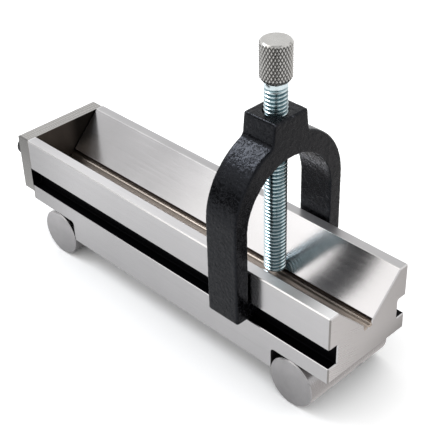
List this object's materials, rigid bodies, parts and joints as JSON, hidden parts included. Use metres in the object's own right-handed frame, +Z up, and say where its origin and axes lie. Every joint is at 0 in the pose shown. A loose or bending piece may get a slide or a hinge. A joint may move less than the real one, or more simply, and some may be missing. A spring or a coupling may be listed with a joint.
{
  "type": "sine vise",
  "caption": "Sine vise: a vee block on sine rolls, closed by an end plate, with a clamp yoke that slides along side slots and a knurled clamp screw.",
  "frame": {"origin": "midway between the sine rolls, on the plane that the rolls stand on and on the block's middle plane", "axes": "+X along the block towards its open end, away from the end plate; +Y across the block, along the rolls; +Z up, along the clamp screw"},
  "size_m": [0.17, 0.0524, 0.1215],
  "materials": {
    "ground_block_steel": "surface ground, satin",
    "ground_plate_steel": "surface ground, satin",
    "roll_steel": "cylindrically ground, faced ends",
    "black_oxide_steel": "black oxide",
    "black_enamelled_iron": "glossy black enamel over a cast surface",
    "zinc_plated_steel": "bright blue zinc plate",
    "knurled_steel": "diamond knurl"
  },
  "bodies": {
    "block": {"vee_block": "ground_block_steel", "end_plate": "ground_plate_steel", "end_plate_screw_near": "black_oxide_steel", "end_plate_screw_far": "black_oxide_steel", "left_roll": "roll_steel", "right_roll": "roll_steel", "left_roll_screw": "black_oxide_steel", "right_roll_screw": "black_oxide_steel"},
    "yoke": {"clamp_yoke": "black_enamelled_iron"},
    "screw": {"clamp_screw": "zinc_plated_steel"},
    "knob": {"clamp_knob": "knurled_steel"}
  },
  "joints": [
    {"name": "yoke_slide", "type": "slide", "parent": "block", "child": "yoke", "axis": [1, 0, 0], "range_m": [-0.1096, 0.0348]},
    {"name": "screw_feed", "type": "slide", "parent": "yoke", "child": "screw", "axis": [0, 0, 1], "range_m": [0, 0.04515]},
    {"name": "knob_turn", "type": "hinge", "parent": "screw", "child": "knob", "pos_m": [0.0375, 0, 0.1075], "axis": [0, 0, 1], "range_deg": [0, 11520]}
  ],
  "couplings": [
    {"joint": "knob_turn", "follows": "screw_feed", "rad_per_m": 4452.7}
  ]
}
